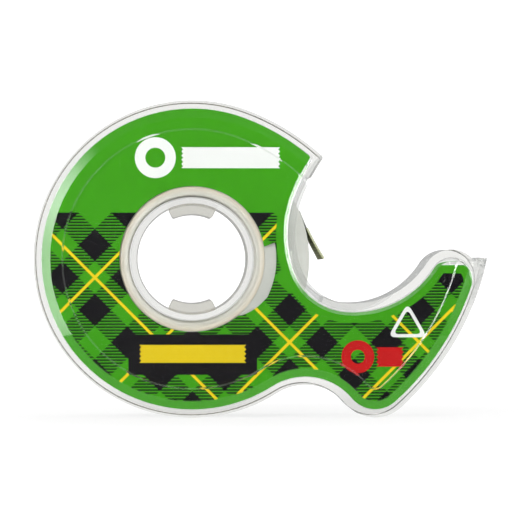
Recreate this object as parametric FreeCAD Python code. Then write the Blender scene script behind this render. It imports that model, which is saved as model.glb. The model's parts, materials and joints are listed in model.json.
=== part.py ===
import FreeCAD
import Part

import math
import os
from collections import namedtuple

# A hand-held tape dispenser: a clear case of two shells round a roll of adhesive tape, with a
# curved arm that ends in a finger rest and a toothed cutter. It stands on its edge.
#
# Everything is drawn round the hub axis first: X to the right, Y from the front to the back,
# Z up, with the middle of the tape at y = 0. The last step moves it to the row frame, whose
# origin is at the bottom centre of the whole object. Lengths are millimetres, angles degrees.

# ---- Tape roll ----
tape_width = 19.05
core_bore_radius = 12.7
core_wall = 1.8
core_end_margin = 0.175  # how far the core stands out beyond the tape at each end
tape_build = 9.0  # radial thickness of the wound tape

# ---- Free end of the tape ----
tape_film = 0.12
tape_end_angle = 24.3  # where the free end leaves the roll, up from +X
tape_end_length = 10.8
tape_end_gap = 0.3  # between the free end and the wound tape where they part
pull_tab_length = 7.0
pull_tab_thickness = 0.25

# ---- Shell walls and clearances ----
rear_plate = 1.3
rear_wall = 1.5
nest_gap = 0.1  # between the cover's edge and the rear wall round it
ledge_width = 0.8  # step inside the rear wall that carries the cover's edge
cover_face = 1.2
label_thickness = 0.2
label_margin = 0.1  # between a label's edge and the wall round it
label_mouth_inset = 2.1  # from the mouth's edge to the front label
label_nose_rise = 2.9  # how far the front label reaches above the nose's centre
roll_end_gap = 0.3  # between the core's ends and the labels
roll_space = 6.0  # between the full roll and the ledge
opening_gap = 1.0  # between the free tape end and the walls at the mouth, as the roll turns

# ---- Relief of the cover's face ----
edge_chamfer_width = 1.8
edge_chamfer_depth = 0.6
mouth_chamfer_width = 0.4  # the same chamfer round the nose and the mouth
panel_raise = 0.6
panel_inset = 2.2  # flat band between the edge chamfer and the raised panel
panel_slope = 0.4
rim_setback = 0.3  # the rear wall's front edge lies this far behind the cover's chamfer
rear_chamfer = 0.12
witness_line_size = (14.1, 43.4)
witness_line_corner = 1.6
witness_line_width = 0.3
witness_line_raise = 0.1

# ---- Hub ----
core_running_gap = 0.3
hub_wall = 1.3
collar_length = 5.2
collar_gap = 0.2
label_hole_margin = 0.1  # between the core's outside and the label's hole
latch_depth = 1.1  # step in the cover's face that the fingers hook into
latch_margin = 0.1  # of the step beyond the hub's outside
latch_gap = 0.1
finger_directions = (90, 270)
finger_half_angle = 25.5
finger_thickness = 1.8
finger_side_gap = 0.3  # between a finger and the bore that it stands in
finger_corner = 0.5
hook_thickness = 0.9
hook_radial_gap = 0.2

# ---- Outline ----
shoulder_radius = 45.8
shoulder_start = 69.6  # where the shoulder leaves the round body
tip_radius = 0.6
wave_radius = 10.6
foot_reach = 36.7  # from the hub axis to the foot's centre
foot_radius = 7.7
arm_back_radius = 56.0
arm_start = -48.2  # direction from the foot's centre where the arm's back begins
nose_radius = 5.9
nose_direction = -18.5  # of the nose, seen from the centre of the arm's back
mouth_lower_direction = 147.5  # of the mouth's lower arc, seen from the nose
mouth_corner_radius = 10.5
mouth_corner_end = 199.5  # where the upper arc meets the corner, seen from its centre
mouth_upper_radius = 20.7
mouth_upper_height = 5.0
mouth_flank_radius = 40.0
mouth_flank_start = 157.5  # where the flank leaves the mouth's upper arc, seen from its centre
roll_reveal = 2.8  # how far the full roll stands out past the mouth's edge

# ---- Cutter ----
cutter_direction = -12.1  # of the teeth, seen from the centre of the arm's back
cutter_top_width = 1.8
cutter_top_rise = 0.15
cutter_notch_direction = 36.9  # of the notch behind the teeth, seen from the nose
cutter_root_step = 3.0  # how far past the nose the cutter's foot runs into the arm
tooth_count = 17
tooth_depth = 1.0
tooth_height = 1.6
tooth_bite = 0.5  # overshoot of the tooth cuts, clear of the tips

# ---- Finger rest rib, arm post and tape exit ----
rib_thickness = 0.8
rib_offset = 1.7
rib_height = 5.9
post_radius = 1.0
post_offset = 2.2  # from the nose's centre, towards the roll
ejector_mark_radius = 0.85
ejector_mark_depth = 0.05
exit_slot_height = 16.4
exit_slot_floor = 8.0

cut_overshoot = 1.0  # how far a cut starts outside the face that it opens

# ---- Values that follow from the ones above ----
core_outer_radius = core_bore_radius + core_wall
roll_radius = core_outer_radius + tape_build
label_hole_radius = core_outer_radius + label_hole_margin
cover_inset = rear_wall + nest_gap
cavity_inset = rear_wall + ledge_width
body_radius = roll_radius + roll_space + cavity_inset
tab_top = roll_radius + tape_end_gap + tape_film + pull_tab_thickness
sweep_radius = math.hypot(tab_top, tape_end_length) + opening_gap

core_half_width = tape_width / 2 + core_end_margin
label_face = core_half_width + roll_end_gap
plate_face = label_face + label_thickness
rear_y = plate_face + rear_plate
band_y = -plate_face - cover_face
front_y = band_y - panel_raise
rim_y = band_y + edge_chamfer_depth + rim_setback

hub_outer_radius = core_bore_radius - core_running_gap
hub_bore_radius = hub_outer_radius - hub_wall
collar_end_y = -plate_face + collar_length
finger_outer_radius = hub_bore_radius - finger_side_gap
finger_inner_radius = finger_outer_radius - finger_thickness
latch_radius = hub_outer_radius + latch_margin
hook_radius = latch_radius - hook_radial_gap

Circle = namedtuple("Circle", "x z r")


# ---- Plane geometry in the XZ plane ----
def unit(angle):
    return math.cos(math.radians(angle)), math.sin(math.radians(angle))


def on_circle(circle, angle):
    ux, uz = unit(angle)
    return circle.x + circle.r * ux, circle.z + circle.r * uz


def grown(circle, by):
    return Circle(circle.x, circle.z, circle.r + by)


def tangent_circle(circle, radius, angle):
    """A circle of another radius that touches the given one from inside or round about it, at
    an angle seen from its centre."""
    ux, uz = unit(angle)
    shift = circle.r - radius
    return Circle(circle.x + shift * ux, circle.z + shift * uz, radius)


def round_both(outer, inner, angle):
    """The circle that touches outer from outside at an angle, and inner from round about it."""
    ux, uz = unit(angle)
    x, z = outer.x + outer.r * ux - inner.x, outer.z + outer.r * uz - inner.z
    radius = (inner.r**2 - x**2 - z**2) / (2 * (x * ux + z * uz + inner.r))
    return Circle(outer.x + (outer.r + radius) * ux, outer.z + (outer.r + radius) * uz, radius)


def touch(first, second):
    """The point of first in the direction of second's centre: where the two are tangent."""
    away = math.hypot(second.x - first.x, second.z - first.z)
    return (
        first.x + first.r * (second.x - first.x) / away,
        first.z + first.r * (second.z - first.z) / away,
    )


def meet(first, second, side):
    """Where two circles cross, to the left (side 1) or right (side -1) of first to second."""
    dx, dz = second.x - first.x, second.z - first.z
    apart = math.hypot(dx, dz)
    along = (first.r**2 - second.r**2 + apart**2) / (2 * apart)
    across = side * math.sqrt(max(0.0, first.r**2 - along**2))
    ux, uz = dx / apart, dz / apart
    return first.x + along * ux - across * uz, first.z + along * uz + across * ux


def arc_edge(circle, start, end, turn):
    """The arc of circle from start to end, anticlockwise for turn 1 and clockwise for -1."""
    first = math.atan2(start[1] - circle.z, start[0] - circle.x)
    last = math.atan2(end[1] - circle.z, end[0] - circle.x)
    sweep = (turn * (last - first)) % (2 * math.pi)
    middle = on_circle(circle, math.degrees(first + turn * sweep / 2))
    return Part.Arc(spot(start), spot(middle), spot(end)).toShape()


def spot(point, y=0.0):
    return FreeCAD.Vector(point[0], y, point[1])


# ---- The circles of the outline, each tangent to its neighbours ----
BODY = Circle(0.0, 0.0, body_radius)
SHOULDER = tangent_circle(BODY, shoulder_radius, shoulder_start)
FOOT = Circle(foot_reach, foot_radius - body_radius, foot_radius)
WAVE = Circle(*meet(grown(BODY, wave_radius), grown(FOOT, wave_radius), -1), wave_radius)
ARM = tangent_circle(FOOT, arm_back_radius, arm_start)
NOSE = Circle(*on_circle(grown(ARM, -nose_radius), nose_direction), nose_radius)
MOUTH_UPPER = Circle(
    roll_radius - roll_reveal + mouth_upper_radius, mouth_upper_height, mouth_upper_radius
)
MOUTH_FLANK = tangent_circle(MOUTH_UPPER, mouth_flank_radius, mouth_flank_start)
MOUTH_CORNER = tangent_circle(MOUTH_UPPER, mouth_corner_radius, mouth_corner_end)
MOUTH_LOWER = round_both(NOSE, MOUTH_CORNER, mouth_lower_direction)


def outline(outer_inset, mouth_inset=None):
    """The case's outline as a closed wire at y = 0, moved in by outer_inset along the outside
    and by mouth_inset round the nose and the mouth."""
    if mouth_inset is None:
        mouth_inset = outer_inset
    shoulder = grown(SHOULDER, -outer_inset)
    body = grown(BODY, -outer_inset)
    wave = grown(WAVE, outer_inset)
    foot = grown(FOOT, -outer_inset)
    arm = grown(ARM, -outer_inset)
    nose = grown(NOSE, -mouth_inset)
    lower = grown(MOUTH_LOWER, mouth_inset)
    corner = grown(MOUTH_CORNER, mouth_inset)
    upper = grown(MOUTH_UPPER, mouth_inset)
    flank = grown(MOUTH_FLANK, mouth_inset)
    tip = Circle(*meet(grown(shoulder, -tip_radius), grown(flank, tip_radius), 1), tip_radius)

    tip_end = touch(shoulder, tip)
    body_start = touch(shoulder, body)
    wave_start = touch(body, wave)
    foot_start = touch(wave, foot)
    arm_begin = touch(arm, foot)
    nose_start = meet(arm, nose, 1)
    lower_start = touch(nose, lower)
    corner_start = touch(lower, corner)
    upper_start = touch(upper, corner)
    flank_start = on_circle(upper, mouth_flank_start)
    tip_start = touch(flank, tip)
    return Part.Wire(
        [
            arc_edge(shoulder, tip_end, body_start, 1),
            arc_edge(body, body_start, wave_start, 1),
            arc_edge(wave, wave_start, foot_start, -1),
            arc_edge(foot, foot_start, arm_begin, 1),
            arc_edge(arm, arm_begin, nose_start, 1),
            arc_edge(nose, nose_start, lower_start, 1),
            arc_edge(lower, lower_start, corner_start, -1),
            arc_edge(corner, corner_start, upper_start, -1),
            arc_edge(upper, upper_start, flank_start, -1),
            arc_edge(flank, flank_start, tip_start, -1),
            arc_edge(tip, tip_start, tip_end, 1),
        ]
    )


# ---- Solids ----
def plate(wire, y_start, y_end):
    """The inside of wire as a plate between two depths."""
    face = Part.Face(wire)
    face.translate(FreeCAD.Vector(0, y_start, 0))
    return face.extrude(FreeCAD.Vector(0, y_end - y_start, 0))


def tapered(wire_start, y_start, wire_end, y_end):
    """A plate whose edge slopes from one outline to another."""
    first = wire_start.copy()
    last = wire_end.copy()
    first.translate(FreeCAD.Vector(0, y_start, 0))
    last.translate(FreeCAD.Vector(0, y_end, 0))
    return Part.makeLoft([first, last], True, True)


def disc(radius, y_start, y_end):
    return Part.makeCylinder(
        radius,
        y_end - y_start,
        FreeCAD.Vector(0, y_start, 0),
        FreeCAD.Vector(0, 1, 0),
    )


def tube(inner, outer, y_start, y_end):
    return disc(outer, y_start, y_end).cut(disc(inner, y_start, y_end))


def prism(points, y_start, y_end):
    corners = [spot(point, y_start) for point in points]
    face = Part.Face(Part.makePolygon(corners + corners[:1]))
    return face.extrude(FreeCAD.Vector(0, y_end - y_start, 0))


def sector(inner, outer, direction, half_angle, y_start, y_end):
    """A piece of a tube, half_angle to each side of a direction."""
    ring = tube(inner, outer, y_start, y_end)
    far = 2 * outer / math.cos(math.radians(half_angle))
    left, right = unit(direction + half_angle), unit(direction - half_angle)
    wedge = prism(
        [(0, 0), (far * right[0], far * right[1]), (far * left[0], far * left[1])],
        y_start,
        y_end,
    )
    return ring.common(wedge)


def mouth_room(y_start, y_end):
    """The space that the roll and its free end sweep, and the slot where the tape leaves."""
    slot = prism(
        [
            (MOUTH_UPPER.x - MOUTH_UPPER.r - opening_gap - cover_inset, exit_slot_floor),
            (MOUTH_UPPER.x, exit_slot_floor),
            (MOUTH_UPPER.x, exit_slot_height),
            (MOUTH_UPPER.x - MOUTH_UPPER.r - opening_gap - cover_inset, exit_slot_height),
        ],
        y_start,
        y_end,
    )
    return disc(sweep_radius, y_start, y_end).fuse(slot)


def witness_line():
    """The fine raised line that a mould insert leaves round the hub."""

    def rounded(grow):
        half_x = witness_line_size[0] / 2 + grow
        half_z = witness_line_size[1] / 2 + grow
        block = Part.makeBox(
            2 * half_x,
            panel_raise + witness_line_raise,
            2 * half_z,
            FreeCAD.Vector(-half_x, front_y - witness_line_raise, -half_z),
        )
        corners = [e for e in block.Edges if abs(e.tangentAt(e.FirstParameter).y) > 0.5]
        return block.makeFillet(witness_line_corner + grow, corners)

    line = rounded(witness_line_width / 2).cut(rounded(-witness_line_width / 2))
    return line.cut(disc(latch_radius, front_y - cut_overshoot, 0))


def front_cover():
    """The clear front shell: raised panel, chamfered edge, mouth lip and hub collar."""
    edge_y = band_y + edge_chamfer_depth
    band_inset = cover_inset + edge_chamfer_width
    mouth_inset = cover_inset + mouth_chamfer_width
    panel_edge = band_inset + panel_inset
    cover = plate(outline(cover_inset), edge_y, -plate_face)
    cover = cover.fuse(
        tapered(outline(cover_inset), edge_y, outline(band_inset, mouth_inset), band_y)
    )
    cover = cover.fuse(
        tapered(
            outline(panel_edge, mouth_inset),
            band_y,
            outline(panel_edge + panel_slope, mouth_inset + panel_slope),
            front_y,
        )
    )
    lip = plate(outline(0), edge_y, -plate_face)
    cover = cover.fuse(lip.common(disc(sweep_radius - nest_gap, edge_y, -plate_face)))
    cover = cover.fuse(witness_line())
    cover = cover.fuse(disc(hub_outer_radius, -plate_face, collar_end_y))
    outside = front_y - cut_overshoot
    cover = cover.cut(disc(latch_radius, outside, front_y + latch_depth))
    cover = cover.cut(post(ejector_mark_radius, outside, band_y + ejector_mark_depth))
    return cover.cut(disc(hub_bore_radius, outside, collar_end_y))


def post(radius, y_start, y_end):
    """A round post in the arm, beside the nose's centre."""
    return Part.makeCylinder(
        radius,
        y_end - y_start,
        FreeCAD.Vector(NOSE.x - post_offset, y_start, NOSE.z),
        FreeCAD.Vector(0, 1, 0),
    )


def cutter():
    """The toothed edge at the end of the arm, a row of teeth across its whole width."""
    tip = on_circle(ARM, cutter_direction)
    back = (tip[0] - cutter_top_width, tip[1] + cutter_top_rise)
    notch = on_circle(NOSE, cutter_notch_direction)
    buried = grown(NOSE, -rear_wall / 2)
    root = on_circle(ARM, nose_direction - cutter_root_step)
    corners = [
        tip,
        back,
        notch,
        on_circle(buried, cutter_notch_direction),
        on_circle(buried, nose_direction),
        root,
    ]
    edges = [
        Part.LineSegment(spot(a), spot(b)).toShape() for a, b in zip(corners, corners[1:])
    ]
    edges.append(arc_edge(ARM, root, tip, 1))
    block = plate(Part.Wire(edges), rim_y, rear_y - rear_chamfer)
    pitch = (rear_y - rear_chamfer - rim_y) / tooth_count
    for number in range(tooth_count + 1):
        middle = rim_y + number * pitch
        reach = pitch / 2 * (1 + tooth_bite / tooth_depth)
        bottom = tip[1] - tooth_height
        notch_face = Part.Face(
            Part.makePolygon(
                [
                    FreeCAD.Vector(tip[0] - tooth_depth, middle, bottom),
                    FreeCAD.Vector(tip[0] + tooth_bite, middle - reach, bottom),
                    FreeCAD.Vector(tip[0] + tooth_bite, middle + reach, bottom),
                    FreeCAD.Vector(tip[0] - tooth_depth, middle, bottom),
                ]
            )
        )
        block = block.cut(notch_face.extrude(FreeCAD.Vector(0, 0, 2 * tooth_height)))
    return block


def finger(direction):
    """A springy hub finger, rooted in the rear plate, with its hook in the cover's step."""
    stem = sector(
        finger_inner_radius,
        finger_outer_radius,
        direction,
        finger_half_angle,
        front_y + latch_gap,
        rear_y,
    )
    root = sector(
        finger_inner_radius,
        hub_outer_radius,
        direction,
        finger_half_angle,
        plate_face,
        rear_y,
    )
    hook = sector(
        finger_inner_radius,
        hook_radius,
        direction,
        finger_half_angle,
        front_y + latch_gap,
        front_y + latch_gap + hook_thickness,
    )
    whole = stem.fuse(root).fuse(hook).removeSplitter()
    corners = [edge for edge in whole.Edges if inner_corner(edge)]
    return whole.makeFillet(finger_corner, corners)


def inner_corner(edge):
    """Whether an edge runs along Y at the inside of a finger."""
    middle = edge.valueAt((edge.FirstParameter + edge.LastParameter) / 2)
    along_y = abs(edge.tangentAt(edge.FirstParameter).y) > 0.9
    return along_y and math.hypot(middle.x, middle.z) < finger_inner_radius + finger_corner


def finger_rest_rib(grow=0.0):
    """The rib inside the nose that holds up the finger rest."""
    middle = NOSE.x + rib_offset
    box = Part.makeBox(
        rib_thickness + 2 * grow,
        plate_face + label_face - nest_gap,
        rib_height + grow,
        FreeCAD.Vector(
            middle - rib_thickness / 2 - grow, nest_gap - label_face, NOSE.z - grow
        ),
    )
    return box.common(plate(outline(rear_wall / 2), -label_face, rear_y))


def rear_case():
    """The clear rear shell: plate, wall, hub with its two fingers, finger rest and cutter."""
    case = plate(outline(0), rim_y, rear_y - rear_chamfer)
    case = case.fuse(
        tapered(outline(0), rear_y - rear_chamfer, outline(rear_chamfer), rear_y)
    )
    case = case.fuse(cutter())
    case = case.cut(plate(outline(rear_wall), rim_y, -label_face))
    case = case.cut(plate(outline(cavity_inset), -label_face, plate_face))
    case = case.cut(mouth_room(rim_y, plate_face))
    case = case.fuse(finger_rest_rib())
    case = case.fuse(post(post_radius, nest_gap - label_face, plate_face))
    case = case.fuse(disc(hub_outer_radius, collar_end_y + collar_gap, plate_face))
    case = case.cut(disc(hub_bore_radius, collar_end_y, rear_y))
    for direction in finger_directions:
        case = case.fuse(finger(direction))
    return case


def front_label():
    """The printed sheet between the cover's edge and the ledge, cut off flat in the nose."""
    sheet = plate(outline(cover_inset, label_mouth_inset), -plate_face, -label_face)
    above = Part.makeBox(
        2 * nose_radius,
        label_thickness,
        nose_radius,
        FreeCAD.Vector(NOSE.x - nose_radius, -plate_face, NOSE.z + label_nose_rise),
    )
    sheet = sheet.cut(above)
    return sheet.cut(disc(label_hole_radius, -plate_face, -label_face))


def rear_label():
    sheet = plate(outline(cavity_inset + label_margin), label_face, plate_face)
    sheet = sheet.cut(disc(label_hole_radius, label_face, plate_face))
    sheet = sheet.cut(post(post_radius + label_margin, label_face, plate_face))
    return sheet.cut(finger_rest_rib(label_margin))


def tape_core():
    return tube(core_bore_radius, core_outer_radius, -core_half_width, core_half_width)


def tape_roll():
    return tube(core_outer_radius, roll_radius, -tape_width / 2, tape_width / 2)


def strip(start, length, bottom, thickness):
    """A flat strip along the line on which the tape leaves the roll, as wide as the tape."""
    outward = unit(tape_end_angle)
    along = (outward[1], -outward[0])

    def at(run, height):
        return (
            height * outward[0] + run * along[0],
            height * outward[1] + run * along[1],
        )

    return prism(
        [
            at(start, bottom),
            at(start + length, bottom),
            at(start + length, bottom + thickness),
            at(start, bottom + thickness),
        ],
        -tape_width / 2,
        tape_width / 2,
    )


def tape_end():
    return strip(0, tape_end_length, roll_radius + tape_end_gap, tape_film)


def pull_tab():
    return strip(
        tape_end_length - pull_tab_length,
        pull_tab_length,
        roll_radius + tape_end_gap + tape_film,
        pull_tab_thickness,
    )


def main():
    """Writes each piece to parts/, moved so that the origin is at the bottom centre."""
    os.makedirs("parts", exist_ok=True)
    cutter_tip = on_circle(ARM, cutter_direction)
    shift = FreeCAD.Vector(
        (body_radius - cutter_tip[0]) / 2,
        -(front_y - witness_line_raise + rear_y) / 2,
        body_radius,
    )
    pieces = {
        "front_cover": front_cover(),
        "rear_case": rear_case(),
        "front_label": front_label(),
        "rear_label": rear_label(),
        "tape_core": tape_core(),
        "tape_roll": tape_roll(),
        "tape_end": tape_end(),
        "pull_tab": pull_tab(),
    }
    for name, shape in pieces.items():
        shape = shape.removeSplitter()
        shape.translate(shift)
        if not shape.isValid():
            raise ValueError(f"{name} isn't a valid shape")
        shape.exportStep(f"parts/{name}.step")
        print(f"{name}: {len(shape.Solids)} solid, {shape.Volume:.1f} mm3")
    print(f"hub axis at x {shift.x:.4f}, z {shift.z:.4f}; the tape's middle at y {shift.y:.4f}")


main()
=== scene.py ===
import json
import math

import bmesh
import bpy
from mathutils import Matrix, Vector, noise


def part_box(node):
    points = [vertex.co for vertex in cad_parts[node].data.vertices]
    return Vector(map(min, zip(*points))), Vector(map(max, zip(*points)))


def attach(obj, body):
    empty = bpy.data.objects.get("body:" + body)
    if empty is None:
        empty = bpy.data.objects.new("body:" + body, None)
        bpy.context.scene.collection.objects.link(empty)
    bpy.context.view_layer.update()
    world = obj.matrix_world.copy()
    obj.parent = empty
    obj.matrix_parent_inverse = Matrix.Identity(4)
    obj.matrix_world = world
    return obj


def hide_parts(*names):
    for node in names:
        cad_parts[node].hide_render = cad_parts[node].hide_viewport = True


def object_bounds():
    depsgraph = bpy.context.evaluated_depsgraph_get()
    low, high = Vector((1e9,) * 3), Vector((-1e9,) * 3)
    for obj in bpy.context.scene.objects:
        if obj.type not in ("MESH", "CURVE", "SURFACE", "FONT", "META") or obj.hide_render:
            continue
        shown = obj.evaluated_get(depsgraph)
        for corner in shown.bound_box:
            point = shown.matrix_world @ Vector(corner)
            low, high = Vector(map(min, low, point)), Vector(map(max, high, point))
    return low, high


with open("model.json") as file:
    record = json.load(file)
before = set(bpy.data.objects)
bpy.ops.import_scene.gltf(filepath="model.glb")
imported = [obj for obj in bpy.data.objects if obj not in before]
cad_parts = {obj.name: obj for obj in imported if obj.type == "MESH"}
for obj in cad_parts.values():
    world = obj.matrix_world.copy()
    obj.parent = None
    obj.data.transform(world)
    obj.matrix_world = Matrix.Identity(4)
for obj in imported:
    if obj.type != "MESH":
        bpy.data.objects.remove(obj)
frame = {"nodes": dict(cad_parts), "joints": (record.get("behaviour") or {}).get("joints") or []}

cad_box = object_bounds()

MM = 0.001

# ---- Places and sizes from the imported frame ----
JOINTS = {joint["name"]: joint for joint in frame["joints"]}
HUB = Vector(JOINTS["roll_spin"]["pos_m"])
PEEL = Vector(JOINTS["tape_end_lift"]["pos_m"])


def radius_range(node):
    """Smallest and largest distance of a node's points from the hub axis."""
    points = [v.co for v in frame["nodes"][node].data.vertices]
    radii = [math.hypot(p.x - HUB.x, p.z - HUB.z) for p in points]
    return min(radii), max(radii)


CORE_BORE, CORE_OUTER = radius_range("tape_core")
ROLL_INNER, ROLL_OUTER = radius_range("tape_roll")
CORE_FRONT, CORE_BACK = (corner.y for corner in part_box("tape_core"))
TAPE_FRONT, TAPE_BACK = (corner.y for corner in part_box("tape_roll"))
LABEL_HOLE = radius_range("front_label")[0]
TAPE_END_LENGTH = 10.8 * MM
PULL_TAB_LENGTH = 7.0 * MM
FILM = 0.08 * MM
TAB_LEAF = 0.14 * MM
RIB_PITCH = 0.55 * MM  # of the pull tab's ribs
TURN_PITCH = 0.22 * MM  # of the rings that show on the ends of the roll
ROUGHEST_TURN = 0.05 * MM  # how far a turn's edge may lie in from the roll's end

WALL_HAZE = 0.20  # share of light that the clear plastic's walls scatter
FINGER_HAZE = 0.22  # the same for the hub's fingers
LIP_HAZE = 0.28  # the same for the lip round the mouth and for the teeth
LIP_WIDTH = 1.5 * MM
HUB_BORE = CORE_BORE - 1.55 * MM
MOUTH_UPPER = HUB + Vector((ROLL_OUTER + 17.9 * MM, 0, 5.0 * MM))  # centre of the mouth's edge
MOUTH_UPPER_RADIUS = 20.7 * MM
MOUTH_CORNER = HUB + Vector((32.0 * MM, 0, 1.6 * MM))
MOUTH_CORNER_RADIUS = 10.5 * MM
TEETH_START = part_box("rear_case")[1].x - 3.0 * MM
EDGE_ROUNDING = 0.05 * MM
SHARP_EDGE = 13  # degrees; a shell's flatter edges only come from its curved faces

# ---- Printed label ----
LABEL_GAP = 0.02 * MM  # air between the sheet and the clear plate that it lies on
LABEL_SHEET = 0.12 * MM
INK = 0.012 * MM
BORDER = 1.8 * MM
UNPRINTED = 0.12 * MM  # white edge outside the border
TEAR_START, TEAR_END = -49.0, 11.3  # where the label's hole is torn wider, in degrees
TEAR_WIDTH = 2.25 * MM
TEAR_SLANT = 1.6  # degrees by which each end of the tear leans over the clean hole
TEAR_RAGGEDNESS = 0.05 * MM
CHECK_TOP = HUB.z + 9.3 * MM
CHECK_PITCH = 13.0 * MM  # of the dark bands, measured along X
HATCH_PITCH = 0.6 * MM
LINE_HALF = 0.40 * MM  # half the width of a yellow line, measured along X

GREEN = (0.044, 0.300, 0.006)
GREEN_LIGHT = (0.066, 0.355, 0.016)
BLACK = (0.006, 0.005, 0.007)
YELLOW = (0.78, 0.58, 0.012)
WHITE = (0.82, 0.83, 0.82)
RED = (0.50, 0.008, 0.010)


# ---- Meshes ----
def add_mesh(name, bm, materials, smooth_angle=35):
    """A new object from a bmesh, smooth except at edges sharper than smooth_angle."""
    bmesh.ops.remove_doubles(bm, verts=bm.verts, dist=1e-7)
    bmesh.ops.recalc_face_normals(bm, faces=bm.faces)
    for face in bm.faces:
        face.smooth = True
    limit = math.radians(smooth_angle)
    for edge in bm.edges:
        if len(edge.link_faces) == 2 and edge.calc_face_angle(0) > limit:
            edge.smooth = False
    mesh = bpy.data.meshes.new(name)
    bm.to_mesh(mesh)
    bm.free()
    for material in materials:
        mesh.materials.append(material)
    piece = bpy.data.objects.new(name, mesh)
    bpy.context.scene.collection.objects.link(piece)
    return piece


def lathe(profile, segments=192):
    """A bmesh of revolution about the hub axis. profile is a closed list of (radius, y)."""
    bm = bmesh.new()
    rings = []
    for step in range(segments):
        angle = 2 * math.pi * step / segments
        ring = [
            bm.verts.new((HUB.x + r * math.cos(angle), y, HUB.z + r * math.sin(angle)))
            for r, y in profile
        ]
        rings.append(ring)
    count = len(profile)
    for step in range(segments):
        first, second = rings[step], rings[(step + 1) % segments]
        for i in range(count):
            j = (i + 1) % count
            bm.faces.new((first[i], first[j], second[j], second[i]))
    return bm


def rounded(corners, radius, steps=6):
    """A closed outline with each corner replaced by a short curve that starts radius from it."""
    points = []
    for i, corner in enumerate(corners):
        here = Vector(corner)
        before = (Vector(corners[i - 1]) - here).normalized()
        after = (Vector(corners[(i + 1) % len(corners)]) - here).normalized()
        start, end = here + before * radius, here + after * radius
        for step in range(steps + 1):
            t = step / steps
            points.append(tuple(start * (1 - t) ** 2 + here * 2 * t * (1 - t) + end * t * t))
    return points


def outer_loop(node, side):
    """The outer edge of a flat CAD sheet as an ordered list of (x, z)."""
    bm = bmesh.new()
    bm.from_mesh(frame["nodes"][node].data)
    bmesh.ops.remove_doubles(bm, verts=bm.verts, dist=1e-7)
    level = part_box(node)[side].y
    near = 0.02 * MM
    flat = [f for f in bm.faces if all(abs(v.co.y - level) < near for v in f.verts)]
    inside = set(flat)
    edges = {e for f in flat for e in f.edges if sum(g in inside for g in e.link_faces) == 1}
    start = max((v for e in edges for v in e.verts), key=lambda v: v.co.x)
    loop, vertex = [start], start
    while edges:
        edge = next((e for e in vertex.link_edges if e in edges), None)
        if edge is None:
            break
        edges.discard(edge)
        vertex = edge.other_vert(vertex)
        loop.append(vertex)
    points = [(v.co.x, v.co.z) for v in loop[:-1]]
    bm.free()
    area = sum(a[0] * b[1] - b[0] * a[1] for a, b in zip(points, points[1:] + points[:1]))
    return points if area > 0 else points[::-1]


def distance_to_loop(point, loop):
    """The distance from a point to the nearest edge of a closed loop."""
    nearest = math.inf
    for i, start in enumerate(loop):
        first = Vector(start)
        edge = first - Vector(loop[i - 1])
        share = (first - point).dot(edge) / max(edge.length_squared, 1e-18)
        foot = first - edge * min(1.0, max(0.0, share))
        nearest = min(nearest, (foot - point).length)
    return nearest


def moved_in(loop, by):
    """An anticlockwise loop moved inwards by a distance, point by point."""
    result = []
    count = len(loop)
    for i, point in enumerate(loop):
        before = Vector(point) - Vector(loop[i - 1])
        after = Vector(loop[(i + 1) % count]) - Vector(point)
        before, after = before.normalized(), after.normalized()
        normal = Vector((-(before.y + after.y), before.x + after.x)).normalized()
        stretch = max(0.5, normal.dot(Vector((-after.y, after.x))))
        result.append(tuple(Vector(point) + normal * (by / stretch)))
    return result


def without_folds(moved, loop, by):
    """A loop that was moved in, less the points that folded over at tight corners."""
    return [point for point in moved if distance_to_loop(Vector(point), loop) > 0.97 * by]


def about_hub(radius, angle):
    turn = math.radians(angle)
    return HUB.x + radius * math.cos(turn), HUB.z + radius * math.sin(turn)


def label_hole(torn):
    """The hole round the hub. The front label's is torn wider on one side, with a sharp jag."""
    if not torn:
        return [about_hub(LABEL_HOLE, 1.5 * i) for i in range(240)]
    end = 360 + TEAR_START
    clean = [
        about_hub(LABEL_HOLE, TEAR_END - TEAR_SLANT + (end - TEAR_END) * i / 200) for i in range(200)
    ]
    tear = []
    for i in range(61):
        share = i / 60
        width = TEAR_WIDTH * min(1.0, 2.6 * share) ** 0.7
        ragged = TEAR_RAGGEDNESS * noise.noise(Vector((share * 14, 0.0, 3.0)))
        angle = end - TEAR_SLANT + (TEAR_END - TEAR_START + TEAR_SLANT) * share
        tear.append(about_hub(LABEL_HOLE + width + ragged, angle))
    return clean + tear


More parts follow.
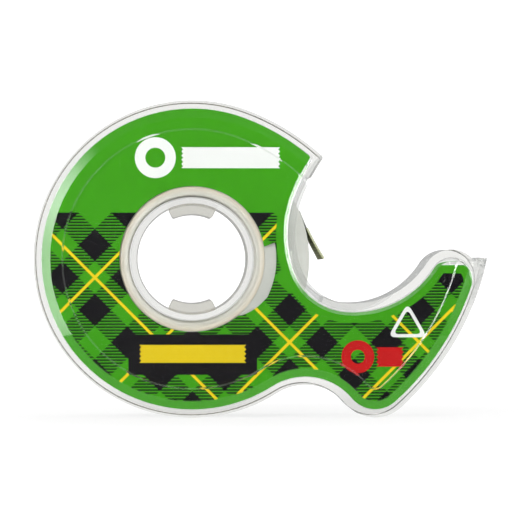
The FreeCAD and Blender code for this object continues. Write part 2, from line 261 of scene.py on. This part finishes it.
def label_sheet(name, node, front, materials):
    """A printed sheet with a plain border, a pattern inside it and a white paper edge and back."""
    outer = outer_loop(node, 0 if front else 1)
    trim = moved_in(outer, UNPRINTED)
    inner = without_folds(moved_in(outer, BORDER), outer, BORDER)
    low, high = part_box(node)
    printed = low.y + LABEL_GAP if front else high.y - LABEL_GAP
    paper = printed + LABEL_SHEET if front else printed - LABEL_SHEET
    bm = bmesh.new()

    def ring(points, y):
        return [bm.verts.new((x, y, z)) for x, z in points]

    hole = label_hole(torn=front)
    rings = {
        "outer": ring(outer, printed),
        "trim": ring(trim, printed),
        "inner": ring(inner, printed),
        "hole": ring(hole, printed),
        "back": ring(outer, paper),
        "back_hole": ring(hole, paper),
    }

    def strip(first, second, material):
        a, b = rings[first], rings[second]
        for i in range(len(a)):
            j = (i + 1) % len(a)
            face = bm.faces.new((a[i], a[j], b[j], b[i]))
            face.material_index = material

    def fill(first, second, material):
        edges = []
        for key in (first, second):
            points = rings[key]
            for i in range(len(points)):
                pair = (points[i], points[(i + 1) % len(points)])
                edges.append(bm.edges.get(pair) or bm.edges.new(pair))
        made = bmesh.ops.triangle_fill(bm, use_beauty=True, edges=edges)["geom"]
        for face in made:
            if isinstance(face, bmesh.types.BMFace):
                face.material_index = material

    strip("outer", "trim", 2)
    fill("trim", "inner", 1)
    strip("outer", "back", 2)
    strip("hole", "back_hole", 2)
    fill("inner", "hole", 0)
    fill("back", "back_hole", 2)
    return add_mesh(name, bm, materials)


def ink_shape(name, outlines, middle_y, material, parent):
    """A thin printed shape on a label, from closed (x, z) outlines about the hub in mm. An outline
    inside another is a hole."""
    curve = bpy.data.curves.new(name, "CURVE")
    curve.dimensions = "2D"
    curve.fill_mode = "BOTH"
    curve.extrude = INK / 2
    for points in outlines:
        spline = curve.splines.new("POLY")
        spline.points.add(len(points) - 1)
        for knot, (x, z) in zip(spline.points, points):
            knot.co = (x * MM, z * MM, 0, 1)
        spline.use_cyclic_u = True
    source = bpy.data.objects.new(name + "_curve", curve)
    mesh = bpy.data.meshes.new_from_object(source)
    bpy.data.objects.remove(source)
    mesh.transform(Matrix.Rotation(math.radians(90), 4, "X"))
    mesh.transform(Matrix.Translation((HUB.x, middle_y, HUB.z)))
    mesh.name = name
    mesh.materials.append(material)
    piece = bpy.data.objects.new(name, mesh)
    bpy.context.scene.collection.objects.link(piece)
    piece.parent = parent
    return piece


def circle(x, z, radius, segments=64):
    return [
        (
            x + radius * math.cos(2 * math.pi * i / segments),
            z + radius * math.sin(2 * math.pi * i / segments),
        )
        for i in range(segments)
    ]


def tape_strip(left, right, bottom, top, teeth):
    """A strip of tape with zigzag ends."""
    pitch = (top - bottom) / teeth
    right_end = [
        (right - (0.45 if i % 2 else 0) * pitch, bottom + i * pitch / 2)
        for i in range(2 * teeth + 1)
    ]
    left_end = [
        (left + (0.45 if i % 2 else 0) * pitch, top - i * pitch / 2) for i in range(2 * teeth + 1)
    ]
    return right_end + left_end


def triangle(x, z, size):
    return [
        (
            x + size * math.cos(math.radians(90 + 120 * i)),
            z + size * math.sin(math.radians(90 + 120 * i)),
        )
        for i in range(3)
    ]


# ---- Materials ----
class Field:
    """A number that varies over a surface, built from math nodes."""

    def __init__(self, tree, socket):
        self.tree = tree
        self.socket = socket

    def combine(self, operation, *others):
        node = self.tree.nodes.new("ShaderNodeMath")
        node.operation = operation
        for slot, value in zip(node.inputs, (self,) + others):
            if isinstance(value, Field):
                self.tree.links.new(value.socket, slot)
            else:
                slot.default_value = value
        return Field(self.tree, node.outputs[0])

    def __add__(self, other):
        return self.combine("ADD", other)

    def __sub__(self, other):
        return self.combine("SUBTRACT", other)

    def __mul__(self, other):
        return self.combine("MULTIPLY", other)

    def __lt__(self, other):
        return self.combine("LESS_THAN", other)

    def either(self, other):
        return self.combine("MAXIMUM", other)

    def opposite(self):
        return self.combine("MULTIPLY_ADD", -1.0, 1.0)

    def wave(self, pitch):
        """Distance to the nearest multiple of pitch."""
        return self.combine("PINGPONG", pitch / 2)

    def fraction(self):
        return self.combine("FRACT")


def new_material(name):
    material = bpy.data.materials.new(name)
    material.use_nodes = True
    tree = material.node_tree
    shader = tree.nodes["Principled BSDF"]
    return material, tree, shader


def coordinates(tree):
    node = tree.nodes.new("ShaderNodeTexCoord")
    return node.outputs["Object"]


def axes(tree):
    parts = tree.nodes.new("ShaderNodeSeparateXYZ")
    tree.links.new(coordinates(tree), parts.inputs[0])
    return [Field(tree, output) for output in parts.outputs]


def noise_field(tree, scale, detail):
    node = tree.nodes.new("ShaderNodeTexNoise")
    node.inputs["Scale"].default_value = scale
    node.inputs["Detail"].default_value = detail
    tree.links.new(coordinates(tree), node.inputs["Vector"])
    return Field(tree, node.outputs[0])


def bump(tree, shader, height, distance, strength=1.0):
    node = tree.nodes.new("ShaderNodeBump")
    node.inputs["Distance"].default_value = distance
    node.inputs["Strength"].default_value = strength
    tree.links.new(height.socket, node.inputs["Height"])
    tree.links.new(node.outputs[0], shader.inputs["Normal"])


def mixed(tree, factor, first, second):
    """A colour that goes from first to second with a field. Each is a colour or a socket."""
    node = tree.nodes.new("ShaderNodeMix")
    node.data_type = "RGBA"
    tree.links.new(factor.socket, node.inputs["Factor"])
    for name, colour in (("A", first), ("B", second)):
        slot = next(s for s in node.inputs if s.name == name and s.type == "RGBA")
        if isinstance(colour, tuple):
            slot.default_value = (*colour, 1)
        else:
            tree.links.new(colour, slot)
    return next(s for s in node.outputs if s.type == "RGBA")


def blended(tree, factor, first, second):
    """A shader that goes from first to second with a field."""
    node = tree.nodes.new("ShaderNodeMixShader")
    tree.links.new(factor.socket, node.inputs[0])
    tree.links.new(first, node.inputs[1])
    tree.links.new(second, node.inputs[2])
    return node.outputs[0]


def ramp(tree, field, low, high):
    """A field scaled so that it is 0 at low and 1 at high, and held there beyond them."""
    node = tree.nodes.new("ShaderNodeMapRange")
    node.inputs["From Min"].default_value = low
    node.inputs["From Max"].default_value = high
    tree.links.new(field.socket, node.inputs["Value"])
    return Field(tree, node.outputs[0])


def distance_from(tree, centre):
    """Distance from a line along Y through a point."""
    x, _, z = axes(tree)
    dx, dz = x - centre.x, z - centre.z
    return (dx * dx + dz * dz).combine("SQRT")


def clear_plastic():
    """Clear moulded polystyrene: greyer through its thickness, with a slight haze on its walls.
    Lamps shine through it, so that the label behind it is lit."""
    material, tree, shader = new_material("clear_plastic")
    shader.inputs["Base Color"].default_value = (1, 1, 1, 1)
    shader.inputs["Transmission Weight"].default_value = 1.0
    shader.inputs["IOR"].default_value = 1.57
    smear = noise_field(tree, 60.0, 4.0)
    roughness = ramp(tree, smear, 0.2, 0.8)
    tree.links.new((roughness * 0.035 + 0.01).socket, shader.inputs["Roughness"])
    bump(tree, shader, noise_field(tree, 180.0, 1.0), 0.02 * MM, 0.2)
    through = tree.nodes.new("ShaderNodeBsdfTransparent")
    through.inputs[0].default_value = (0.93, 0.94, 0.935, 1)
    haze = tree.nodes.new("ShaderNodeBsdfTranslucent")
    fingers = distance_from(tree, HUB) < HUB_BORE
    tree.links.new(mixed(tree, fingers, (0.80, 0.81, 0.80), (0.60, 0.57, 0.44)), haze.inputs[0])
    geometry = tree.nodes.new("ShaderNodeNewGeometry")
    parts = tree.nodes.new("ShaderNodeSeparateXYZ")
    tree.links.new(geometry.outputs["True Normal"], parts.inputs[0])
    wall = Field(tree, parts.outputs[1]).combine("ABSOLUTE").opposite()
    x, _, z = axes(tree)
    upper = distance_from(tree, MOUTH_UPPER) < MOUTH_UPPER_RADIUS + LIP_WIDTH
    corner = distance_from(tree, MOUTH_CORNER) < MOUTH_CORNER_RADIUS + LIP_WIDTH
    high = z.combine("GREATER_THAN", MOUTH_CORNER.z)
    lip = (upper * high * (x < MOUTH_CORNER.x)).either(corner)
    teeth = x.combine("GREATER_THAN", TEETH_START)
    share = (wall * WALL_HAZE).either(fingers * FINGER_HAZE).either(lip.either(teeth) * LIP_HAZE)
    hazy = blended(tree, share, shader.outputs[0], haze.outputs[0])
    path = tree.nodes.new("ShaderNodeLightPath")
    shadow = Field(tree, path.outputs["Is Shadow Ray"])
    output = tree.nodes["Material Output"]
    tree.links.new(blended(tree, shadow, hazy, through.outputs[0]), output.inputs["Surface"])
    body = tree.nodes.new("ShaderNodeVolumeAbsorption")
    body.inputs["Color"].default_value = (0.70, 0.70, 0.67, 1)
    body.inputs["Density"].default_value = 40.0
    tree.links.new(body.outputs[0], output.inputs["Volume"])
    return material


def paper_finish(tree, shader):
    shader.inputs["Roughness"].default_value = 0.55
    shader.inputs["Specular IOR Level"].default_value = 0.12
    bump(tree, shader, noise_field(tree, 2500.0, 4.0), 0.01 * MM, 0.4)


def check_print(front):
    """A plain diamond check: black where two bands cross, hatched where one band lies on green,
    with a yellow line along every second row of green."""
    material, tree, shader = new_material("label_print_front" if front else "label_print_rear")
    x, _, z = axes(tree)
    across, up = x - HUB.x, z - CHECK_TOP
    hatch = ((z * (1 / HATCH_PITCH)).fraction()) < 0.5
    bands, lines = [], []
    for run in (across + up, across - up):
        bands.append(run.wave(CHECK_PITCH) < CHECK_PITCH / 4)
        lines.append((run + CHECK_PITCH / 2).wave(2 * CHECK_PITCH) < LINE_HALF)
    below = z < CHECK_TOP
    dark = (bands[0] * bands[1]).either(bands[0].either(bands[1]) * hatch) * below
    tone = ramp(tree, noise_field(tree, 900.0, 5.0), 0.2, 0.9)
    ink = mixed(tree, tone * 0.25, GREEN, GREEN_LIGHT)
    colour = mixed(tree, dark, ink, BLACK)
    colour = mixed(tree, lines[0].either(lines[1]) * below, colour, YELLOW)
    tree.links.new(colour, shader.inputs["Base Color"])
    paper_finish(tree, shader)
    return material


def plain_print(name, colour, light):
    """One ink, with the slight unevenness of print."""
    material, tree, shader = new_material(name)
    tone = ramp(tree, noise_field(tree, 900.0, 5.0), 0.2, 0.9)
    tree.links.new(mixed(tree, tone * 0.25, colour, light), shader.inputs["Base Color"])
    paper_finish(tree, shader)
    return material


def core_plastic():
    """Ivory moulded plastic, greyer at the bore, with a fine uneven bump."""
    material, tree, shader = new_material("core_plastic")
    outer = ramp(tree, distance_from(tree, HUB), (CORE_BORE + CORE_OUTER) / 2 - 0.4 * MM, CORE_OUTER)
    tone = ramp(tree, noise_field(tree, 220.0, 4.0), 0.3, 0.8)
    ivory = mixed(tree, tone, (0.63, 0.56, 0.44), (0.67, 0.61, 0.50))
    colour = mixed(tree, outer, (0.62, 0.61, 0.55), ivory)
    tree.links.new(colour, shader.inputs["Base Color"])
    shader.inputs["Roughness"].default_value = 0.38
    shader.inputs["Subsurface Weight"].default_value = 0.25
    shader.inputs["Subsurface Radius"].default_value = (2 * MM, 2 * MM, 2 * MM)
    bump(tree, shader, noise_field(tree, 1400.0, 2.0), 0.01 * MM, 0.5)
    return material


def wound_tape():
    """Frosted film, with the fine rings of its turns on the ends of the roll."""
    material, tree, shader = new_material("wound_tape")
    turns = (distance_from(tree, HUB) * (1 / TURN_PITCH)).fraction()
    uneven = ramp(tree, noise_field(tree, 260.0, 4.0), 0.3, 0.7)
    shade = uneven * 0.6 + turns * 0.4
    colour = mixed(tree, shade, (0.46, 0.47, 0.43), (0.57, 0.58, 0.54))
    tree.links.new(colour, shader.inputs["Base Color"])
    shader.inputs["Roughness"].default_value = 0.42
    shader.inputs["Subsurface Weight"].default_value = 0.4
    shader.inputs["Subsurface Radius"].default_value = (3 * MM, 3 * MM, 3 * MM)
    bump(tree, shader, turns + uneven * 0.6, 0.02 * MM, 0.35)
    return material


def tape_film():
    """A single layer of matt film: frosted, and half see-through."""
    material, tree, shader = new_material("tape_film")
    tone = ramp(tree, noise_field(tree, 500.0, 4.0), 0.3, 0.8)
    colour = mixed(tree, tone, (0.70, 0.73, 0.66), (0.78, 0.80, 0.75))
    tree.links.new(colour, shader.inputs["Base Color"])
    shader.inputs["Roughness"].default_value = 0.45
    shader.inputs["Alpha"].default_value = 0.75
    return material


def tab_paper():
    """Olive paper with fine ribs across it."""
    material, tree, shader = new_material("tab_paper")
    _, _, z = axes(tree)
    ribs = (z * (1 / RIB_PITCH)).fraction().wave(1.0)
    colour = mixed(tree, ramp(tree, ribs, 0.1, 0.4), (0.27, 0.28, 0.13), (0.40, 0.42, 0.22))
    tree.links.new(colour, shader.inputs["Base Color"])
    shader.inputs["Roughness"].default_value = 0.7
    bump(tree, shader, noise_field(tree, 3000.0, 4.0), 0.02 * MM, 0.6)
    return material


# ---- Pieces ----
def labels():
    green = plain_print("label_green", GREEN, GREEN_LIGHT)
    white = plain_print("label_paper", WHITE, (0.78, 0.80, 0.74))
    front = label_sheet("front_label_sheet", "front_label", True, [check_print(True), green, white])
    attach(front, "case")
    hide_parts("front_label")
    rear = label_sheet("rear_label_sheet", "rear_label", False, [check_print(False), green, white])
    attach(rear, "case")
    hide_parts("rear_label")
    inks = {
        "white": plain_print("ink_white", WHITE, (0.78, 0.80, 0.76)),
        "black": plain_print("ink_black", BLACK, (0.014, 0.013, 0.015)),
        "yellow": plain_print("ink_yellow", YELLOW, (0.85, 0.68, 0.05)),
        "red": plain_print("ink_red", RED, (0.60, 0.03, 0.02)),
    }
    label_marks("mark_", front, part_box("front_label")[0].y + LABEL_GAP - INK / 2, -INK, inks)
    label_marks("rear_mark_", rear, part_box("rear_label")[1].y - LABEL_GAP + INK / 2, INK, inks)


def label_marks(prefix, label, y, layer, inks):
    """Plain printed shapes on one label: tape strips and rings, with no lettering."""

    def mark(name, outlines, ink, level=0):
        ink_shape(prefix + name, outlines, y + level * layer, inks[ink], label)

    mark("white_roll", [circle(-7.4, 20.3, 4.1), circle(-7.4, 20.3, 2.0)], "white")
    mark("white_strip", [tape_strip(-2.2, 17.6, 18.2, 22.4, 5)], "white")
    panel = [(-12.8, -23.2), (13.0, -23.2), (13.0, -15.1), (-12.8, -15.1)]
    mark("black_panel", [rounded(panel, 0.4)], "black")
    mark("yellow_strip", [tape_strip(-10.6, 10.8, -20.8, -17.2, 4)], "yellow", 1)
    mark("red_roll", [circle(33.2, -19.6, 3.3), circle(33.2, -19.6, 1.4)], "red")
    mark("red_strip", [tape_strip(36.9, 42.4, -21.6, -17.7, 4)], "red")
    outer = rounded(triangle(43.2, -13.4, 4.6), 1.7)
    inner = rounded(triangle(43.2, -13.4, 3.3), 1.1)
    mark("triangle", [outer, inner], "white")


def core():
    """A turned ring with broken edges and a shallow groove in its front end."""
    groove = 0.05 * MM
    groove_half = 0.2 * MM
    chamfer = 0.25 * MM
    middle = (CORE_BORE + CORE_OUTER) / 2
    front, back = CORE_FRONT, CORE_BACK
    corners = [
        (CORE_BORE, front + chamfer),
        (CORE_BORE + chamfer, front),
        (middle - chamfer, front),
        (middle - groove_half, front + groove),
        (middle + groove_half, front + groove),
        (middle + chamfer, front),
        (CORE_OUTER, front),
        (CORE_OUTER, back),
        (CORE_BORE + chamfer, back),
        (CORE_BORE, back - chamfer),
    ]
    piece = add_mesh("core_ring", lathe(rounded(corners, 0.04 * MM, 2)), [core_plastic()])
    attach(piece, "roll")
    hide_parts("tape_core")


def roll():
    """The wound tape. The edges of its turns lie unevenly, by a few hundredths of a mm."""
    turns = 60
    front, back = [], []
    for i in range(turns + 1):
        r = ROLL_INNER + (ROLL_OUTER - ROLL_INNER) * i / turns
        wander = ROUGHEST_TURN * (0.5 + 0.5 * noise.noise(Vector((i * 0.37, 1.5, 0.0))))
        front.append((r, TAPE_FRONT + wander))
        wander = ROUGHEST_TURN * (0.5 + 0.5 * noise.noise(Vector((i * 0.37, 7.5, 0.0))))
        back.append((r, TAPE_BACK - wander))
    piece = add_mesh("wound_roll", lathe(front + back[::-1]), [wound_tape()])
    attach(piece, "roll")
    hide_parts("tape_roll")


def along_tape(run, lift):
    """A point run metres along the free end, lift metres away from the roll."""
    outward = Vector((PEEL.x - HUB.x, 0, PEEL.z - HUB.z)).normalized()
    along = Vector((outward.z, 0, -outward.x))
    return PEEL + outward * lift + along * run


def bent_strip(runs, base, thickness, twist=0.0):
    """A closed strip across the tape's width. base(run) is its lower face's height."""
    bm = bmesh.new()
    across = 12
    grid = {}
    for i, run in enumerate(runs):
        for j in range(across + 1):
            share = j / across
            y = TAPE_FRONT + (TAPE_BACK - TAPE_FRONT) * share
            lean = twist * (share - 0.5) * (run / runs[-1]) ** 2
            for k in (0, 1):
                point = along_tape(run, base(run) + lean + k * thickness)
                grid[i, j, k] = bm.verts.new((point.x, y, point.z))
    last = len(runs) - 1
    for i in range(last):
        for j in range(across):
            for k in (0, 1):
                bm.faces.new(
                    (grid[i, j, k], grid[i + 1, j, k], grid[i + 1, j + 1, k], grid[i, j + 1, k])
                )
    for i in range(last):
        for j in (0, across):
            bm.faces.new((grid[i, j, 0], grid[i + 1, j, 0], grid[i + 1, j, 1], grid[i, j, 1]))
    for j in range(across):
        for i in (0, last):
            bm.faces.new((grid[i, j, 0], grid[i, j + 1, 0], grid[i, j + 1, 1], grid[i, j, 1]))
    return bm


def tape_end():
    """The free end: it starts close to the roll, runs straight and curls up slightly."""

    def height(run):
        share = run / TAPE_END_LENGTH
        return -0.18 * MM + 0.30 * MM * share - 0.25 * MM * math.sin(math.pi * share)

    twist = -0.35 * MM
    runs = [TAPE_END_LENGTH * i / 24 for i in range(25)]
    film = add_mesh("free_tape", bent_strip(runs, height, FILM, twist), [tape_film()])
    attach(film, "tape_end")
    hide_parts("tape_end")
    start = TAPE_END_LENGTH - PULL_TAB_LENGTH
    tab_runs = [start + PULL_TAB_LENGTH * i / 16 for i in range(17)]
    material = tab_paper()

    def over(run):
        return height(run) + FILM

    def under(run):
        return height(run) - TAB_LEAF

    upper = add_mesh("tab_upper_leaf", bent_strip(tab_runs, over, TAB_LEAF, twist), [material])
    lower = add_mesh("tab_lower_leaf", bent_strip(tab_runs, under, TAB_LEAF, twist), [material])
    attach(upper, "tape_end")
    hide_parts("pull_tab")
    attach(lower, "tape_end")


def shells():
    """The two clear shells: the CAD shapes with their edges softened, as a mould leaves them."""
    plastic = clear_plastic()
    for name, node in (("rear_shell", "rear_case"), ("front_shell", "front_cover")):
        bm = bmesh.new()
        bm.from_mesh(frame["nodes"][node].data)
        bmesh.ops.remove_doubles(bm, verts=bm.verts, dist=1e-7)
        bmesh.ops.dissolve_limit(
            bm,
            angle_limit=math.radians(0.5),
            verts=bm.verts,
            edges=bm.edges,
            delimit={"NORMAL"},
        )
        piece = add_mesh(name, bm, [plastic], SHARP_EDGE)
        soften = piece.modifiers.new("soft_edges", "BEVEL")
        soften.width = EDGE_ROUNDING
        soften.segments = 2
        soften.limit_method = "ANGLE"
        soften.angle_limit = math.radians(30)
        soften.use_clamp_overlap = True
        soften.harden_normals = True
        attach(piece, "case")
        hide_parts(node)


# ---- Studio ----
def reflected(tree, faces_passed=2):
    """1 on a path that has been mirrored and has passed through no more than so many faces of the
    plastic, and 0 on any other. A path that was mirrored deep inside the plastic doesn't count."""
    path = tree.nodes.new("ShaderNodeLightPath")
    mirrored = Field(tree, path.outputs["Glossy Depth"]).combine("GREATER_THAN", 0.5)
    return mirrored * (Field(tree, path.outputs["Transmission Depth"]) < faces_passed + 0.5)


def studio():
    """A white sweep that curves up behind the object, and soft light from all sides. In
    reflections the sweep is dim, the front of the room is black and the floor there is missing,
    as behind a polarising filter, so that the labels' blacks stay deep and the lamps glint."""
    half, back, bend, top = 2.4, 1.6, 0.4, 2.6
    bm = bmesh.new()
    profile = [(-1.8, 0.0), (back - bend, 0.0)]
    for i in range(1, 17):
        angle = math.radians(90 * i / 16)
        profile.append((back - bend + bend * math.sin(angle), bend - bend * math.cos(angle)))
    profile.append((back, top))
    rows = [[bm.verts.new((x, y, z)) for y, z in profile] for x in (-half, half)]
    for i in range(len(profile) - 1):
        bm.faces.new((rows[0][i], rows[0][i + 1], rows[1][i + 1], rows[1][i]))
    material, tree, shader = new_material("studio_white")
    shader.inputs["Base Color"].default_value = (0.30, 0.30, 0.30, 1)
    shader.inputs["Roughness"].default_value = 1.0
    shader.inputs["Specular IOR Level"].default_value = 0.0
    shader.inputs["Emission Color"].default_value = (1, 1, 1, 1)
    x, y, z = axes(tree)
    # Painted shade: the sweep glows at three quarters strength near the origin, where the object
    # stands, and fully beyond about 0.2 m. The lamps' real contact shadow darkens it further there.
    away = (x * x + y * y + z * z).combine("SQRT")
    glow_with_painted_shade = ramp(tree, away, 0.05, 0.22) * 0.25 + 0.75
    dimmed = reflected(tree, 0) * -0.65 + 1.0
    tree.links.new((glow_with_painted_shade * dimmed).socket, shader.inputs["Emission Strength"])
    open_floor = tree.nodes.new("ShaderNodeBsdfTransparent")
    in_front = y < -0.05
    surface = blended(tree, reflected(tree) * in_front, shader.outputs[0], open_floor.outputs[0])
    tree.links.new(surface, tree.nodes["Material Output"].inputs["Surface"])
    sweep = add_mesh("studio_sweep", bm, [material])

    soft_box("glint_left", (-0.47, -0.635, 0.09), 0.20, 1.0, 2.9)
    soft_box("fill_right", (0.8, -0.55, 0.35), 0.6, 0.6, 1.0)
    soft_box("top_soft", (0.0, 0.05, 0.95), 0.9, 0.9, 1.2)
    key = soft_box("key_left", (-0.40, -0.68, 0.09), 0.50, 1.0, 4.3)
    key.visible_glossy = False

    world = bpy.data.worlds.new("studio_world")
    bpy.context.scene.world = world
    world.use_nodes = True
    tree = world.node_tree
    background = tree.nodes["Background"]
    parts = tree.nodes.new("ShaderNodeSeparateXYZ")
    tree.links.new(tree.nodes.new("ShaderNodeTexCoord").outputs["Generated"], parts.inputs[0])
    front_side = ramp(tree, Field(tree, parts.outputs[1]), -0.55, -0.85)
    shade = mixed(tree, front_side * reflected(tree), (0.48, 0.48, 0.48), (0.0, 0.0, 0.0))
    seen = Field(tree, tree.nodes.new("ShaderNodeLightPath").outputs["Is Camera Ray"])
    tree.links.new(mixed(tree, seen, shade, (1.0, 1.0, 1.0)), background.inputs["Color"])
    view = bpy.context.scene.view_settings
    view.view_transform = "Standard"
    cycles = bpy.context.scene.cycles
    cycles.max_bounces = 24
    cycles.transmission_bounces = 24
    cycles.transparent_max_bounces = 24


def soft_box(name, place, width, height, power):
    """A rectangular lamp that is brightest in its middle and fades to nothing at its rim."""
    light = bpy.data.lights.new(name, "AREA")
    light.shape = "RECTANGLE"
    light.size = width
    light.size_y = height
    light.energy = power
    light.use_nodes = True
    tree = light.node_tree
    parts = tree.nodes.new("ShaderNodeSeparateXYZ")
    geometry = tree.nodes.new("ShaderNodeNewGeometry")
    tree.links.new(geometry.outputs["Parametric"], parts.inputs[0])
    fade = None
    for output in parts.outputs[:2]:
        off_centre = (Field(tree, output) - 0.5).combine("ABSOLUTE")
        edge = ramp(tree, off_centre, 0.5, 0.1)
        fade = edge if fade is None else fade * edge
    tree.links.new((fade * 2.4).socket, tree.nodes["Emission"].inputs["Strength"])
    lamp = bpy.data.objects.new(name, light)
    lamp.location = place
    lamp.visible_camera = False
    target = Vector((0, 0, 0.03))
    lamp.rotation_euler = (target - Vector(place)).to_track_quat("-Z", "Y").to_euler()
    bpy.context.scene.collection.objects.link(lamp)
    return lamp


def camera():
    """A long lens, straight on to the label and a little to its left."""
    distance = 0.75
    view_width = 0.1044
    aim_height = 0.0314
    to_the_left = 0.02
    sensor = 36
    low, high = cad_box
    target = Vector(((low.x + high.x) / 2, low.y, low.z + aim_height))
    lens = bpy.data.cameras.new("camera")
    lens.sensor_width = sensor
    lens.lens = sensor * distance / view_width
    lens.clip_start = 0.01
    lens.clip_end = 20
    viewer = bpy.data.objects.new("camera", lens)
    viewer.location = target + Vector((-to_the_left, -distance, 0))
    viewer.rotation_euler = (target - viewer.location).to_track_quat("-Z", "Y").to_euler()
    bpy.context.scene.collection.objects.link(viewer)
    bpy.context.scene.camera = viewer


camera()
studio()
shells()
labels()
core()
roll()
tape_end()
